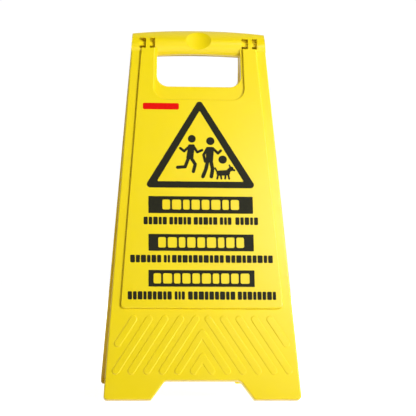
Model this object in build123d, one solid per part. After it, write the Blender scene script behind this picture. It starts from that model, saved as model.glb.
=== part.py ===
from build123d import *
import os
from math import sin, cos, tan, radians, sqrt, hypot, atan2, pi

os.makedirs("parts", exist_ok=True)

# ---------------------------------------------------------------- dimensions
# Folding A-frame floor sign, millimetres. Two identical thin-walled panels,
# one turned half a turn about +Z, snap together in a hinge under the grip.
# A panel is drawn flat first: x across it, y up along it from the feet,
# z out of its face (z = 0 is the plane through the hinge axis that the two
# panels share when the sign is folded flat).
HALF_ANGLE = 15.0        # each panel leans this much when the sign stands open
FOOT_HALF = 152.5        # half width at the feet
TOP_HALF = 106.9         # half width at the top corners
TOP_CORNER = 599.1       # height of the top corners along the panel
TOP_APEX = 607.3         # top of the arched upper edge
HINGE_S = 582.0          # hinge axis, along the panel
RIM = 1.0                # open rim of the tray
FACE = 15.0              # border face
PLATEAU = 19.0           # raised message field
WALL = 2.5               # wall thickness
FOOT_TRIM = 0.5          # feet are trimmed level with the floor by this much

FOOT_IN = 79.5           # inner end of a foot
NOTCH_HALF = 57.9        # notch between the feet, half width at its top
NOTCH_TOP = 29.8

PLAT_A, PLAT_B = 137.3, 0.0774     # half width of the field = A - B * height
PLAT_BOT = 142.2
OPEN_HALF_T, OPEN_HALF_B = 66.9, 68.0   # hand opening half widths
OPEN_BOT = 508.4
BAR_LOW = 567.1          # lower edge of the grip bar at the centre
BAR_ARCH = 1250.0        # radius of the bar's lower edge, across the panel
ARCH_R = 702.0           # radius of the arched upper edge
REC_BOT = 485.4          # recess round the hand opening
REC_HALF_T, REC_HALF_B = 70.6, 72.8

ROLL_S = 580.0           # crown of the rolled grip
ROLL_R1 = 37.05          # roll above the crown
ROLL_R2 = 16.25          # roll below the crown
BAR_R = 21.18            # section radius of the grip bar between the uprights
BAR_S, BAR_W = 585.48, -2.90   # its centre, height and depth
BAR_TOP = 588.0          # the bar's section runs out into the roll here
OPEN_R, REC_R = 18.5, 20.0   # lower corner radii of the hand opening and of the recess round it
DRAFT = 0.7              # side draft of the raised field, over its height
RIB_H, RIB_R, RIB_DRAFT = 1.15, 5.9, 1.3   # raised bars: height, half width at the foot, side slope

WIN_LO, WIN_HI = 572.8, 590.4      # hinge windows
HOOK_X = (-90.8, 75.0)             # hook windows, wide
PIN_X = (-75.0, 90.8)              # pin windows, narrow
HOOK_WIN, PIN_WIN = 10.2, 8.2
PIN_R = 3.0
CLEAR = 0.06             # running clearance of the hinge pins
HOOK_R = 5.9
HOOK_LEN = 7.4
CHEEK = 2.2

SCOOP_S, SCOOP_W, SCOOP_R = 588.0, 51.7, 39.1   # thumb scoop in the middle of the grip, hollow across
SCOOP_TILT = 5.5         # degrees, deeper towards the top edge
INK = 0.2                # printed film thickness
TH = radians(HALF_ANGLE)

# ---------------------------------------------------------------- helpers
def poly(points):
    return make_face(Polyline([(p[0], p[1]) for p in points], close=True))

def rounded(points):
    """Closed outline through (x, y, r) corners, each corner rounded by r."""
    n = len(points)
    ent = []
    for i in range(n):
        x, y, r = points[i]
        px, py, _ = points[i - 1]
        nx, ny, _ = points[(i + 1) % n]
        a = Vector(px - x, py - y).normalized()
        b = Vector(nx - x, ny - y).normalized()
        if r <= 0:
            ent.append(((x, y), None, (x, y)))
            continue
        ang = a.get_angle(b)
        t = r / tan(radians(ang) / 2)
        c = (a + b).normalized() * (r / sin(radians(ang) / 2))
        p0 = (x + a.X * t, y + a.Y * t)
        p1 = (x + b.X * t, y + b.Y * t)
        m = Vector(x + c.X, y + c.Y) - (a + b).normalized() * r
        ent.append((p0, (m.X, m.Y), p1))
    edges = []
    for i in range(n):
        p0, m, p1 = ent[i]
        q0 = ent[(i + 1) % n][0]
        if m is not None:
            edges.append(ThreePointArc(p0, m, p1))
        if hypot(q0[0] - p1[0], q0[1] - p1[1]) > 1e-6:
            edges.append(Line(p1, q0))
    return make_face(Wire(edges))

def prism(face, z0, z1):
    return Pos(0, 0, z0) * extrude(face, z1 - z0)

def tapered(face0, z0, face1, z1):
    """Solid with straight drafted sides between two matching outlines."""
    return loft([Pos(0, 0, z0) * face0, Pos(0, 0, z1) * face1], ruled=True)

def across(points_or_face, x0, x1):
    """Extrude a (height, depth) profile across the panel from x0 to x1."""
    face = points_or_face if not isinstance(points_or_face, list) else poly(points_or_face)
    # the local profile plane: its x runs up the panel, its y out of the face
    pl = Plane(origin=(x0, 0, 0), x_dir=(0, 1, 0), z_dir=(1, 0, 0))
    return pl * extrude(face, x1 - x0)

def box(x0, x1, y0, y1, z0, z1):
    return Pos((x0 + x1) / 2, (y0 + y1) / 2, (z0 + z1) / 2) * Box(x1 - x0, y1 - y0, z1 - z0)

def side(s):
    return FOOT_HALF - (FOOT_HALF - TOP_HALF) * s / TOP_CORNER

def arch(s0, x):
    return s0 - ARCH_R + sqrt(ARCH_R ** 2 - x * x)

def arch_points(s0, half, n=24):
    return [(half - 2 * half * i / n, arch(s0, half - 2 * half * i / n)) for i in range(n + 1)]

# ---------------------------------------------------------------- outlines
def panel_outline(d=0.0):
    """Outer edge of the panel, moved inwards by d."""
    k = (FOOT_HALF - TOP_HALF) / TOP_CORNER
    sx = d * sqrt(1 + k * k)
    top = TOP_APEX - d
    # lower slanted edge of the notch moved inwards
    ex, ey = FOOT_IN - NOTCH_HALF, NOTCH_TOP
    ln = hypot(ex, ey)
    ox = d * ln / ey
    def nx(y):                      # notch edge, moved
        return NOTCH_HALF + ex * (NOTCH_TOP - y) / NOTCH_TOP + ox
    r = lambda v: max(v - d, 0.8)
    rc = lambda v: v + d
    sb = d
    pts = [(side(sb) - sx, sb, r(6.0)), (nx(sb), sb, r(3.0)),
           (nx(NOTCH_TOP + d), NOTCH_TOP + d, rc(7.0)),
           (-nx(NOTCH_TOP + d), NOTCH_TOP + d, rc(7.0)),
           (-nx(sb), sb, r(3.0)), (-(side(sb) - sx), sb, r(6.0)),
           (-(side(640) - sx), 640, 0), ((side(640) - sx), 640, 0)]
    face = rounded(pts)
    cap = make_face(Wire([Line((-200, -20), (200, -20)), Line((200, -20), (200, arch(top, 200))),
                          ThreePointArc((200, arch(top, 200)), (0, top), (-200, arch(top, 200))),
                          Line((-200, arch(top, 200)), (-200, -20))]))
    return face & cap

def field_outline(d=0.0, top=ROLL_S + 6):
    k = PLAT_B
    sx = d * sqrt(1 + k * k)
    hb = PLAT_A - k * (PLAT_BOT + d) - sx
    ht = PLAT_A - k * top - sx
    return rounded([(hb, PLAT_BOT + d, 6.5 - d * 0.6), (-hb, PLAT_BOT + d, 6.5 - d * 0.6),
                    (-ht, top, 0), (ht, top, 0)])

def opening_outline(d=0.0):
    """Hand opening, grown outwards by d; arched top edge."""
    lo = OPEN_BOT - d
    hi = BAR_LOW + d
    hb, ht = OPEN_HALF_B + d, OPEN_HALF_T + d
    face = rounded([(hb, lo, OPEN_R + d), (ht, hi + 6, 0), (-ht, hi + 6, 0), (-hb, lo, OPEN_R + d)])
    e = hi - BAR_ARCH + sqrt(BAR_ARCH ** 2 - 120 ** 2)
    cap = make_face(Wire([Line((-120, 400), (120, 400)), Line((120, 400), (120, e)),
                          ThreePointArc((120, e), (0, hi), (-120, e)),
                          Line((-120, e), (-120, 400))]))
    return face & cap

def recess_outline(d=0.0, top=577.0):
    k = (REC_HALF_B - REC_HALF_T) / (574.0 - REC_BOT)
    hb = REC_HALF_B + d
    ht = REC_HALF_B + d - k * (top - REC_BOT)
    return rounded([(hb, REC_BOT - d, REC_R + d), (ht, top, 2.0), (-ht, top, 2.0), (-hb, REC_BOT - d, REC_R + d)])

# ---------------------------------------------------------------- rolled grip
def roll_profile(t):
    """Half-round profile of the grip, (height, depth), t inside the outer skin."""
    r1, r2 = ROLL_R1 - t, ROLL_R2 - t
    c1 = (ROLL_S, PLATEAU - ROLL_R1)
    c2 = (ROLL_S, PLATEAU - ROLL_R2)
    def p(c, r, a):
        return (c[0] + r * sin(radians(a)), c[1] + r * cos(radians(a)))
    e = [ThreePointArc(p(c1, r1, 60), p(c1, r1, 30), p(c1, r1, 0)),
         ThreePointArc(p(c2, r2, 0), p(c2, r2, -45), p(c2, r2, -90)),
         Line(p(c2, r2, -90), (c2[0] - r2, RIM - 3)),
         Line((c2[0] - r2, RIM - 3), (p(c1, r1, 60)[0], RIM - 3)),
         Line((p(c1, r1, 60)[0], RIM - 3), p(c1, r1, 60))]
    return make_face(Wire(e))

ROLL_OUT = roll_profile(0.0)
ROLL_IN = roll_profile(WALL)

# ---------------------------------------------------------------- panel
def soften(part, edges, r):
    """Round the edges together, or one by one where they will not go together."""
    try:
        return fillet(edges, r)
    except Exception:
        print("one by one", len(edges), r)
    for e in edges:
        c = e @ 0.5
        try:
            here = [f for f in part.edges() if (f @ 0.5 - c).length < 1e-3]
            if here:
                part = fillet(here, r)
        except Exception:
            print("left sharp", c)
    return part

def on_outline(e):
    """True for an edge of the border face that is not the foot of the raised field."""
    c = e @ 0.5
    x, y = abs(c.X), c.Y
    if y > ROLL_S - 11.2:
        return False
    if abs(x - side(y)) < 2.0 and x > 60:
        return True
    if y < NOTCH_TOP + 3 and PLAT_BOT > y:
        return True
    return False

def bar_section(t, floor):
    """(height, depth) region above the bar's skin, t inside it: cut from the band."""
    r = BAR_R - t
    def at(s):
        return (s, BAR_W + sqrt(r * r - (BAR_S - s) ** 2))
    if floor is None:
        lo = at(BAR_S - sqrt(r * r - (4.0 - t - BAR_W) ** 2))
    else:
        lo = at(BAR_S - sqrt(r * r - (floor - BAR_W) ** 2))
    hi = at(BAR_TOP)
    mid = at((lo[0] + hi[0]) / 2)
    return make_face(Wire([Line((550, lo[1]), lo), ThreePointArc(lo, mid, hi), Line(hi, (BAR_TOP, 40)),
                           Line((BAR_TOP, 40), (550, 40)), Line((550, 40), (550, lo[1]))]))

def bar_zones():
    """What is cut away in front of the grip bar: as wide as the recess down to the
    border level, and as wide as the hand opening below that."""
    keep = tapered(recess_outline(0.0, 600.0), FACE - 0.5, recess_outline(DRAFT, 600.0), PLATEAU + 0.5) \
        + prism(recess_outline(DRAFT, 600.0), PLATEAU + 0.4, 45)
    return [across(bar_section(0.0, FACE), -90, 90) & keep,
            across(bar_section(0.0, None), -OPEN_HALF_T, OPEN_HALF_T)]

def build_panel():
    outer = panel_outline()
    a1 = prism(outer, RIM, FACE)
    band_box = box(-130, 130, 560, 620, RIM - 2, 40)
    over = across([(ROLL_S, 60), (ROLL_S, -30), (680, -30), (680, 60)], -130, 130)
    roll_o = across(ROLL_OUT, -130, 130)
    band = prism(outer, RIM, PLATEAU + 1) & roll_o & band_box
    low = prism(outer & poly([(-200, -20), (200, -20), (200, ROLL_S), (-200, ROLL_S)]), RIM, FACE)
    field = tapered(field_outline(-DRAFT, ROLL_S), FACE, field_outline(0.0, ROLL_S), PLATEAU)
    field = field - tapered(recess_outline(0.0, 600.0), FACE - 0.5, recess_outline(DRAFT, 600.0), PLATEAU + 0.5)
    def on_plane(e, z):
        b = e.bounding_box()
        return abs(b.min.Z - z) < 1e-3 and abs(b.max.Z - z) < 1e-3
    top_edges = [e for e in field.edges() if on_plane(e, PLATEAU) and e.bounding_box().min.Y < ROLL_S - 1]
    field = soften(field, top_edges, 1.4)
    low = low + prism(field_outline(-0.0, ROLL_S), FACE - 2, FACE)
    skin = low + field + band
    zones = bar_zones()
    for z in zones:
        skin = skin - z
    rim_edges = [e for e in skin.edges() if on_plane(e, FACE) and on_outline(e)]
    skin = soften(skin, rim_edges, 2.2)
    # hollow back: the panel is a thin-walled tray with a flange round every edge
    inner = panel_outline(WALL)
    low_in = prism(inner & poly([(-200, -20), (200, -20), (200, ROLL_S), (-200, ROLL_S)]), RIM - 2, FACE - WALL)
    field_in = prism(field_outline(WALL, ROLL_S), FACE - WALL - 1, PLATEAU - WALL)
    band_in = (prism(inner, RIM - 2, PLATEAU + 1) & across(ROLL_IN, -130, 130)
               & box(-130, 130, 560, 620, RIM - 2, 40))
    rec_in = prism(recess_outline(WALL, 568.0 - 0.0), FACE - WALL, 40)
    bar_in = across(bar_section(WALL, FACE - WALL), -REC_HALF_T - WALL, REC_HALF_T + WALL) \
        + across(bar_section(WALL, None), -OPEN_HALF_T - 0.5, OPEN_HALF_T + 0.5)
    cavity = (low_in + field_in + band_in) - rec_in - bar_in
    ring = prism(opening_outline(WALL), RIM - 3, FACE)
    ring = ring - box(-OPEN_HALF_T + 5, OPEN_HALF_T - 5, 556, 590, -10, 60)
    cavity = cavity - ring
    def dish(r):
        d = Vector(0, cos(radians(SCOOP_TILT)), -sin(radians(SCOOP_TILT)))
        o = Vector(0, SCOOP_S, SCOOP_W) - d * 45
        return Plane(origin=o, x_dir=(1, 0, 0), z_dir=d) * extrude(Circle(r), 90)
    scoop = dish(SCOOP_R)
    cavity = cavity - dish(SCOOP_R + WALL)
    skin = skin - scoop
    body = skin - cavity
    body = body - prism(opening_outline(0.0), RIM - 3, 40)
    def on_hole(e):
        c = e @ 0.5
        return on_plane(e, FACE) and abs(c.X) < OPEN_HALF_B + 0.5 and OPEN_BOT - 0.5 < c.Y < 556
    body = soften(body, [e for e in body.edges() if on_hole(e)], 1.6)
    # upper rims meet on the centre plane when the sign is open
    tn = tan(TH)
    body = body - across([(HINGE_S + 1.0, -5), (HINGE_S + 1.0, 0.15), (HINGE_S + 1.0 + 0.0, tn * 1.0 + 0.2),
                          (640, tn * (640 - HINGE_S) + 0.2), (640, -5)], -130, 130)
    # windows over the hinge
    for cx, wd in [(c, HOOK_WIN) for c in HOOK_X] + [(c, PIN_WIN) for c in PIN_X]:
        win = RectangleRounded(wd, WIN_HI - WIN_LO, 1.0)
        body = body - prism(Pos(cx, (WIN_LO + WIN_HI) / 2) * win, 9, 40)
    for rb in build_ribs():
        body = body + rb
    for hw in build_hinge():
        for z in zones + [scoop]:
            hw = hw - z
        body = body + hw
    return body


def build_ribs():
    """Raised bars of the lower border: slanted bars either side of two chevrons."""
    ribs = []
    def slot(p, q, r):
        dx, dy = q[0] - p[0], q[1] - p[1]
        ln = hypot(dx, dy)
        a = atan2(dy, dx) * 180 / pi
        return Pos((p[0] + q[0]) / 2, (p[1] + q[1]) / 2) * Rot(0, 0, a) * SlotOverall(ln + 2 * r, 2 * r)
    def bar(p, q):
        f = tapered(slot(p, q, RIB_R), FACE, slot(p, q, RIB_R - RIB_DRAFT), FACE + RIB_H)
        return f + prism(slot(p, q, RIB_R), FACE - 0.4, FACE)
    tops = [9.75, 33.5, 57.8, 81.9]
    bots = [62.05, 85.8, 109.8, 133.65]
    for t, b in zip(tops, bots):
        for m in (-1, 1):
            ribs.append(bar((m * t, 125.6), (m * b, 44.0)))
    for m in (-1, 1):
        ribs.append(bar((m * 106.0, 125.6), (m * 130.45, 87.0)))
    for b, a in ((37.85, 103.6), (14.0, 66.0)):
        chev = bar((-b, 44.0), (0, a)) + bar((b, 44.0), (0, a))
        ribs.append(chev)
    out = []
    for rb in ribs:
        e = [e for e in rb.edges() if abs(e.bounding_box().min.Z - FACE - RIB_H) < 1e-3
             and abs(e.bounding_box().max.Z - FACE - RIB_H) < 1e-3]
        out.append(soften(rb, e, 0.9))
    return out

def disc(r, x0, x1):
    return Plane(origin=(x0, HINGE_S, 0), x_dir=(0, 1, 0), z_dir=(1, 0, 0)) * extrude(Circle(r), x1 - x0)

def build_hinge():
    """Half of the snap hinge: two pins between cheeks and two open hooks.
    Turned half a turn, the same half meets it: every hook holds a pin."""
    out = []
    inside = across(roll_profile(0.7), -130, 130)
    s0 = HINGE_S
    for cx in PIN_X:
        for m in (-1, 1):
            x0 = cx + m * (PIN_WIN / 2 + CHEEK / 2) - CHEEK / 2
            x1 = x0 + CHEEK
            rib = box(x0, x1, s0 - 5.2, s0 + 5.2, 0, 30) & inside
            out.append(disc(5.2, x0, x1) + rib)
        out.append(disc(PIN_R, cx - PIN_WIN / 2 - CHEEK * 0.7, cx + PIN_WIN / 2 + CHEEK * 0.7))
    # a shelf above the hinge and a hood over each pin and hook close the windows behind
    shelf = prism(panel_outline(WALL - 0.3) & poly([(-120, 590.9), (120, 590.9), (120, 592.7), (-120, 592.7)]), 3.4, 30) & inside
    out.append(shelf)
    shelf2 = prism(panel_outline(WALL - 0.3) & poly([(-120, 569.6), (120, 569.6), (120, 571.4), (-120, 571.4)]), 2.2, 30) & inside
    out.append(shelf2)
    for cx, wd in [(c, HOOK_WIN) for c in HOOK_X] + [(c, PIN_WIN) for c in PIN_X]:
        out.append(box(cx - wd / 2 - 1.9, cx + wd / 2 + 1.9, 586.9, 592.0, 7.0, 8.8))
    for cx in PIN_X:
        out.append(box(cx - PIN_WIN / 2 - 1.9, cx + PIN_WIN / 2 + 1.9, s0 - 3.2, s0 + 3.4, 10.2, 12.2))
    for cx in HOOK_X:
        h = HOOK_LEN / 2
        ring = disc(HOOK_R, cx - h, cx + h)
        web = box(cx - h, cx + h, s0 - 2.6, s0 + 2.6, 0, 12.6)
        hook = ring + web - disc(PIN_R + CLEAR, cx - h - 1, cx + h + 1)
        # mouth of the hook, away from the panel, narrower than the pin so that it snaps on
        hook = hook - across([(s0 - 2.3, 0), (s0 + 2.3, 0), (s0 + 3.2, -9), (s0 - 3.2, -9)], cx - h - 1, cx + h + 1)
        tie = box(cx - HOOK_WIN / 2 - 1.9, cx + HOOK_WIN / 2 + 1.9, s0 - 3.6, s0 + 3.6, 11.2, 13.6)
        for m in (-1, 1):
            x0 = cx + m * (HOOK_WIN / 2 + 1.0) - 1.0
            tie = tie + (box(x0, x0 + 2.0, s0 - 5.0, s0 + 5.0, 11.2, 30) & inside)
        out.append(hook + tie)
    return out

# ---------------------------------------------------------------- printed message
def limb(points, r):
    f = None
    for p, q in zip(points[:-1], points[1:]):
        ln = hypot(q[0] - p[0], q[1] - p[1])
        a = atan2(q[1] - p[1], q[0] - p[0]) * 180 / pi
        g = Pos((p[0] + q[0]) / 2, (p[1] + q[1]) / 2) * Rot(0, 0, a) * SlotOverall(ln + 2 * r, 2 * r)
        f = g if f is None else f + g
    return f

def dot(x, y, r):
    return Pos(x, y) * Circle(r)

def triangle_border():
    o = rounded([(89.2, 336.8, 5.5), (0, 486.4, 5.5), (-89.2, 336.8, 5.5)])
    i = rounded([(69.0, 347.3, 1.2), (0, 465.8, 1.2), (-69.0, 347.3, 1.2)])
    return o - i

def figure_left():
    f = dot(-13.0, 418.4, 6.3)
    f = f + rounded([(-18.6, 409.0, 2), (-8.2, 409.0, 2), (-11.0, 384.5, 2.5), (-22.5, 384.5, 2.5)])
    f = f + limb([(-16.5, 406.0), (-25.5, 397.5), (-31.4, 402.4)], 2.1)
    f = f + limb([(-10.5, 406.0), (-4.5, 396.0), (3.0, 399.5)], 2.1)
    f = f + limb([(-18.5, 386.5), (-24.0, 371.5), (-36.0, 370.5)], 2.7)
    f = f + limb([(-14.5, 386.5), (-8.0, 376.0), (-11.0, 363.8)], 2.7)
    return f

def figure_right():
    f = dot(16.6, 414.8, 6.6)
    f = f + rounded([(9.5, 405.0, 2.5), (22.5, 405.0, 2.5), (20.3, 380.0, 2.5), (9.0, 380.0, 2.5)])
    f = f + limb([(11.5, 402.5), (5.5, 391.5), (8.0, 380.5)], 2.2)
    f = f + limb([(20.5, 402.5), (28.5, 394.5), (33.0, 399.0)], 2.2)
    f = f + limb([(12.0, 382.0), (9.0, 368.0), (4.0, 355.6)], 2.9)
    f = f + limb([(17.0, 382.0), (19.5, 368.0), (17.5, 355.6)], 2.9)
    return f

def ball():
    return dot(35.8, 384.0, 6.7)

def animal():
    f = limb([(29.9, 361.4), (42.9, 362.2)], 4.4)
    f = f + limb([(42.9, 363.5), (48.4, 368.6)], 3.2) + dot(49.1, 368.8, 3.9)
    f = f + limb([(49.4, 368.0), (54.1, 366.4)], 1.7)
    f = f + limb([(47.7, 371.0), (46.5, 374.8)], 1.3)
    f = f + limb([(27.4, 362.8), (23.5, 369.6)], 1.4)
    for x0, x1 in ((28.5, 26.7), (32.3, 33.3), (40.3, 39.3), (44.3, 45.7)):
        f = f + limb([(x0, 359.5), (x1, 352.4)], 1.5)
    return f

def strokes(x0, x1, lo, hi, widths, gap, rc):
    """A run of plain rounded blocks filling x0..x1: stands in for one word."""
    total = x1 - x0
    seq = []
    used = 0.0
    while used < total + gap:
        w = widths[len(seq) % len(widths)]
        seq.append(w)
        used += w + gap
    k = (total - gap * (len(seq) - 1)) / sum(seq)
    out = []
    x = x0
    for w in seq:
        out.append(Pos(x + w * k / 2, (lo + hi) / 2) * RectangleRounded(w * k, hi - lo, rc))
        x += w * k + gap
    return out

BANNERS = (((82.6, 294.8, 322.7), (-60.6, 60.6, 298.9, 319.2)),
           ((82.7, 233.6, 260.8), (-67.4, 67.4, 236.9, 257.8)),
           ((82.9, 176.2, 202.8), (-75.0, 75.0, 179.2, 199.6)))

def banner(k):
    (h, lo, hi), (x0, x1, a, b) = BANNERS[k]
    f = Pos(0, (lo + hi) / 2) * RectangleRounded(2 * h, hi - lo, 1.0)
    for r in strokes(x0, x1, a + 2.0, b - 2.0, (13.0, 15.5, 11.0, 14.0), 3.0, 2.6):
        f = f - r
    return f

CAPTIONS = ((275.2, 290.0, ((-90.2, -53.7), (-49.8, -15.5), (-11.4, 25.8), (29.9, 48.1), (54.4, 90.2))),
            (213.6, 228.2, ((-111.2, -63.0), (-58.9, -48.9), (-46.0, 35.0), (38.0, 112.2))),
            (154.4, 169.9, ((-115.2, -46.9), (-42.3, -26.5), (-21.4, 52.0), (56.0, 115.8))))

def caption(k):
    lo, hi, words = CAPTIONS[k]
    f = None
    for x0, x1 in words:
        for r in strokes(x0, x1, lo + 1.2, hi - 1.2, (7.4, 6.4, 8.2, 5.6), 1.5, 1.7):
            f = r if f is None else f + r
    return f

def tab():
    return Pos(-62.0, 472.8) * RectangleRounded(57.6, 10.8, 2.2)

PRINTS = {"triangle_border": triangle_border, "figure_left": figure_left, "figure_right": figure_right,
          "ball": ball, "animal": animal, "tab": tab,
          "banner_upper": lambda: banner(0), "banner_middle": lambda: banner(1), "banner_lower": lambda: banner(2),
          "caption_upper": lambda: caption(0), "caption_middle": lambda: caption(1),
          "caption_lower": lambda: caption(2)}

# ---------------------------------------------------------------- standing pose
def stand(shape, half_turn):
    """Lean a flat-drawn panel part into its place in the open sign."""
    pl = Plane(origin=(0, -HINGE_S * sin(TH), -RIM * sin(TH) - FOOT_TRIM),
               x_dir=(1, 0, 0), z_dir=(0, -cos(TH), sin(TH)))
    s = pl * shape
    if half_turn:
        s = Rot(0, 0, 180) * s
    return s

panel = build_panel()
floor_cut = Pos(0, 0, -25) * Box(900, 900, 50)
prints = {k: prism(f(), PLATEAU, PLATEAU + INK) for k, f in PRINTS.items()}
for side_name, turned in (("front", False), ("rear", True)):
    p = stand(panel, turned) - floor_cut
    export_step(p, "parts/%s_panel.step" % side_name)
    print(side_name, p.volume, len(p.solids()), p.bounding_box())
    for k, f in prints.items():
        export_step(stand(f, turned), "parts/%s_%s.step" % (side_name, k))
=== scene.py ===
import bpy, bmesh, math
import numpy as np
from mathutils import Vector, Matrix

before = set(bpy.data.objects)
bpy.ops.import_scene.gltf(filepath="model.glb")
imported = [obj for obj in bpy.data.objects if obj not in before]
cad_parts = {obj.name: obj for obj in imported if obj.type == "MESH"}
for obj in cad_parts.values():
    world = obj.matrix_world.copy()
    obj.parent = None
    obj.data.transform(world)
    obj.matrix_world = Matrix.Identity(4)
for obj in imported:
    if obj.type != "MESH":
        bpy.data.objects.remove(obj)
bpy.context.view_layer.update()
scene = bpy.context.scene
FILL = 0.10            # what the surroundings give the object
WARM = (1.0, 0.74, 0.45)   # tint of the light that fills the shade
WALL_WHITE = 1.1       # the lit wall behind it, in reflections

# ------------------------------------------------------------------ materials
def node_mat(name):
    m = bpy.data.materials.new(name)
    m.use_nodes = True
    nt = m.node_tree
    for n in list(nt.nodes):
        nt.nodes.remove(n)
    out = nt.nodes.new("ShaderNodeOutputMaterial")
    b = nt.nodes.new("ShaderNodeBsdfPrincipled")
    nt.links.new(b.outputs["BSDF"], out.inputs["Surface"])
    return m, nt, b

def N(nt, kind, **kw):
    n = nt.nodes.new(kind)
    for k, v in kw.items():
        setattr(n, k, v)
    return n

def noise(nt, coord, scale, detail=3.0, rough=0.5):
    n = N(nt, "ShaderNodeTexNoise")
    n.inputs["Scale"].default_value = scale
    n.inputs["Detail"].default_value = detail
    n.inputs["Roughness"].default_value = rough
    nt.links.new(coord, n.inputs["Vector"])
    return n

def ramp(nt, fac, lo, hi, a=0.0, b=1.0):
    n = N(nt, "ShaderNodeMapRange")
    n.inputs["From Min"].default_value = lo
    n.inputs["From Max"].default_value = hi
    n.inputs["To Min"].default_value = a
    n.inputs["To Max"].default_value = b
    nt.links.new(fac, n.inputs["Value"])
    return n.outputs["Result"]

def mixc(nt, fac, c0, c1):
    n = N(nt, "ShaderNodeMix", data_type="RGBA")
    nt.links.new(fac, n.inputs["Factor"])
    for c, key in ((c0, 6), (c1, 7)):
        if isinstance(c, tuple):
            n.inputs[key].default_value = c + (1.0,)
        else:
            nt.links.new(c, n.inputs[key])
    return n.outputs[2]

def yellow_plastic():
    m, nt, b = node_mat("moulded_yellow")
    tc = N(nt, "ShaderNodeTexCoord").outputs["Object"]
    big = noise(nt, tc, 9.0, 2.0, 0.5)
    mid = noise(nt, tc, 60.0, 3.0, 0.55)
    fine = noise(nt, tc, 1400.0, 2.0, 0.6)
    c = mixc(nt, ramp(nt, big.outputs["Fac"], 0.35, 0.65), (0.884, 0.704, 0.001), (0.898, 0.722, 0.002))
    c = mixc(nt, ramp(nt, mid.outputs["Fac"], 0.3, 0.75, 0.0, 0.35), c, (0.874, 0.690, 0.001))
    nt.links.new(c, b.inputs["Base Color"])
    r = ramp(nt, mid.outputs["Fac"], 0.3, 0.7, 0.28, 0.35)
    nt.links.new(r, b.inputs["Roughness"])
    b.inputs["IOR"].default_value = 1.49
    # the moulding's skin: a thin smooth gloss that shows along rounded edges
    b.inputs["Coat Weight"].default_value = 0.20
    b.inputs["Coat Roughness"].default_value = 0.10
    b.inputs["Coat IOR"].default_value = 1.45
    bump = N(nt, "ShaderNodeBump")
    bump.inputs["Strength"].default_value = 0.10
    bump.inputs["Distance"].default_value = 0.0002
    nt.links.new(fine.outputs["Fac"], bump.inputs["Height"])
    bump2 = N(nt, "ShaderNodeBump")
    bump2.inputs["Strength"].default_value = 0.25
    bump2.inputs["Distance"].default_value = 0.0006
    nt.links.new(big.outputs["Fac"], bump2.inputs["Height"])
    nt.links.new(bump.outputs["Normal"], bump2.inputs["Normal"])
    nt.links.new(bump2.outputs["Normal"], b.inputs["Normal"])
    return m

def ink(name, c0, c1, r0, r1, spec):
    m, nt, b = node_mat(name)
    b.inputs["Specular IOR Level"].default_value = spec
    tc = N(nt, "ShaderNodeTexCoord").outputs["Object"]
    n1 = noise(nt, tc, 260.0, 4.0, 0.6)
    n2 = noise(nt, tc, 1800.0, 2.0, 0.5)
    nt.links.new(mixc(nt, ramp(nt, n1.outputs["Fac"], 0.35, 0.7), c0, c1), b.inputs["Base Color"])
    nt.links.new(ramp(nt, n2.outputs["Fac"], 0.3, 0.7, r0, r1), b.inputs["Roughness"])
    bump = N(nt, "ShaderNodeBump")
    bump.inputs["Strength"].default_value = 0.12
    bump.inputs["Distance"].default_value = 0.0001
    nt.links.new(n2.outputs["Fac"], bump.inputs["Height"])
    nt.links.new(bump.outputs["Normal"], b.inputs["Normal"])
    return m

YELLOW = yellow_plastic()
BLACK = ink("print_black", (0.009, 0.009, 0.002), (0.014, 0.014, 0.003), 0.50, 0.60, 0.16)
RED = ink("print_red", (0.72, 0.003, 0.001), (0.80, 0.004, 0.002), 0.55, 0.65, 0.08)

for name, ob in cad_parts.items():
    mat = YELLOW if name.endswith("_panel") else (RED if name.endswith("_tab") else BLACK)
    ob.data.materials.clear()
    ob.data.materials.append(mat)

# ------------------------------------------------------------------ studio
def stage_mat(name, col, rough):
    m, nt, b = node_mat(name)
    b.inputs["Base Color"].default_value = col + (1.0,)
    b.inputs["Roughness"].default_value = rough
    b.inputs["Specular IOR Level"].default_value = 0.1
    return m

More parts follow.
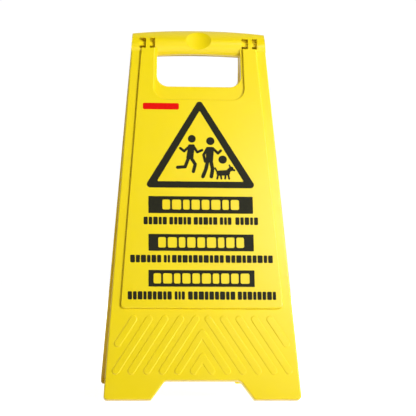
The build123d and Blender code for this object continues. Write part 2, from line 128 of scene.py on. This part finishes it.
bm = bmesh.new()
s = 6.0
vs = [bm.verts.new(p) for p in ((-s, -s, 0), (s, -s, 0), (s, s, 0), (-s, s, 0))]
bm.faces.new(vs)
me = bpy.data.meshes.new("floor")
bm.to_mesh(me); bm.free()
floor = bpy.data.objects.new("floor", me)
scene.collection.objects.link(floor)
def floor_mat():
    m, nt, b = node_mat("pale_floor")
    tc = N(nt, "ShaderNodeTexCoord").outputs["Object"]
    n = noise(nt, tc, 3.0, 3.0, 0.5)
    nt.links.new(mixc(nt, n.outputs["Fac"], (0.80, 0.80, 0.80), (0.84, 0.84, 0.84)), b.inputs["Base Color"])
    b.inputs["Roughness"].default_value = 0.9
    b.inputs["Specular IOR Level"].default_value = 0.0
    out = [n for n in nt.nodes if n.type == "OUTPUT_MATERIAL"][0]
    em = N(nt, "ShaderNodeEmission")
    em.inputs["Strength"].default_value = FLOOR_GLOW
    add = N(nt, "ShaderNodeAddShader")
    lp = N(nt, "ShaderNodeLightPath")
    seen = N(nt, "ShaderNodeMath", operation="MAXIMUM")
    nt.links.new(lp.outputs["Is Camera Ray"], seen.inputs[0])
    nt.links.new(lp.outputs["Is Glossy Ray"], seen.inputs[1])
    soft = N(nt, "ShaderNodeMath", operation="MULTIPLY_ADD")
    nt.links.new(lp.outputs["Is Diffuse Ray"], soft.inputs[0])
    soft.inputs[1].default_value = FLOOR_BOUNCE
    nt.links.new(seen.outputs[0], soft.inputs[2])
    mul = N(nt, "ShaderNodeMath", operation="MULTIPLY")
    nt.links.new(soft.outputs[0], mul.inputs[0])
    mul.inputs[1].default_value = FLOOR_GLOW
    nt.links.new(mixc(nt, seen.outputs[0], WARM, (1.0, 1.0, 1.0)), em.inputs["Color"])
    nt.links.new(mul.outputs[0], em.inputs["Strength"])
    nt.links.new(b.outputs["BSDF"], add.inputs[0])
    nt.links.new(em.outputs["Emission"], add.inputs[1])
    nt.links.new(add.outputs["Shader"], out.inputs["Surface"])
    return m

FLOOR_GLOW = 0.96
FLOOR_BOUNCE = 0.15
floor.data.materials.append(floor_mat())

w = bpy.data.worlds.new("studio")
scene.world = w
w.use_nodes = True
wt = w.node_tree
bg = wt.nodes["Background"]
bg.inputs["Color"].default_value = (1.0, 1.0, 1.0, 1.0)
lp = wt.nodes.new("ShaderNodeLightPath")
# the studio wall behind the sign is white: gloss at the edges picks it up
wc = wt.nodes.new("ShaderNodeTexCoord")
sx = wt.nodes.new("ShaderNodeSeparateXYZ")
wt.links.new(wc.outputs["Generated"], sx.inputs["Vector"])
back = wt.nodes.new("ShaderNodeMapRange")
back.inputs["From Min"].default_value = -0.45
back.inputs["From Max"].default_value = 0.05
back.inputs["To Min"].default_value = 0.0
back.inputs["To Max"].default_value = WALL_WHITE - FILL
wt.links.new(sx.outputs["Y"], back.inputs["Value"])
gl = wt.nodes.new("ShaderNodeMath")
gl.operation = "MULTIPLY_ADD"
wt.links.new(back.outputs["Result"], gl.inputs[0])
wt.links.new(lp.outputs["Is Glossy Ray"], gl.inputs[1])
gl.inputs[2].default_value = FILL
mr = wt.nodes.new("ShaderNodeMapRange")
wt.links.new(gl.outputs[0], mr.inputs["To Min"])
mr.inputs["To Max"].default_value = 1.02
wt.links.new(lp.outputs["Is Camera Ray"], mr.inputs["Value"])
wt.links.new(mr.outputs["Result"], bg.inputs["Strength"])
# soft light that fills the shade is warm; what is seen or mirrored stays white
wmax = wt.nodes.new("ShaderNodeMath")
wmax.operation = "MAXIMUM"
wt.links.new(lp.outputs["Is Camera Ray"], wmax.inputs[0])
wt.links.new(lp.outputs["Is Glossy Ray"], wmax.inputs[1])
wmix = wt.nodes.new("ShaderNodeMix")
wmix.data_type = "RGBA"
wt.links.new(wmax.outputs[0], wmix.inputs["Factor"])
wmix.inputs[6].default_value = WARM + (1.0,)
wmix.inputs[7].default_value = (1.0, 1.0, 1.0, 1.0)
wt.links.new(wmix.outputs[2], bg.inputs["Color"])

def softbox(name, loc, target, size, power, col=(1, 1, 1)):
    l = bpy.data.lights.new(name, "AREA")
    l.shape = "RECTANGLE"
    l.size, l.size_y = size
    l.energy = power
    l.color = col
    o = bpy.data.objects.new(name, l)
    scene.collection.objects.link(o)
    o.location = loc
    d = Vector(target) - Vector(loc)
    o.rotation_euler = d.to_track_quat("-Z", "Y").to_euler()
    return o

softbox("key", (3.30, -4.00, 1.90), (0, 0, 0.28), (0.90, 0.90), 174.0)
softbox("glare", (0.45, -1.05, 0.86), (0.08, 0, 0.30), (0.30, 0.30), 5.2)
softbox("back", (1.70, 3.70, 1.70), (0, 0.08, 0.28), (1.60, 1.60), 130.0)
softbox("left_card", (-1.10, -1.15, 0.75), (0, 0, 0.30), (0.12, 0.60), 0.4)

# ------------------------------------------------------------------ camera
def camera(loc, yaw, pitch, roll, f_px):
    y, p, r = (math.radians(v) for v in (yaw, pitch, roll))
    f = Vector((math.sin(y) * math.cos(p), math.cos(y) * math.cos(p), math.sin(p)))
    rt = Vector((math.cos(y), -math.sin(y), 0))
    up = rt.cross(f)
    right = math.cos(r) * rt + math.sin(r) * up
    upv = -math.sin(r) * rt + math.cos(r) * up
    cam = bpy.data.cameras.new("camera")
    cam.sensor_width = 36.0
    cam.lens = f_px / 416.0 * 36.0
    cam.clip_end = 100
    o = bpy.data.objects.new("camera", cam)
    scene.collection.objects.link(o)
    m = Matrix((right, upv, -f)).transposed().to_4x4()
    m.translation = Vector(loc)
    o.matrix_world = m
    scene.camera = o

camera((-0.19054, -2.76362, 0.25188), 4.3197, 0.9768, 0.3715, 1700.0)
scene.view_settings.view_transform = "Standard"
scene.view_settings.look = "None"
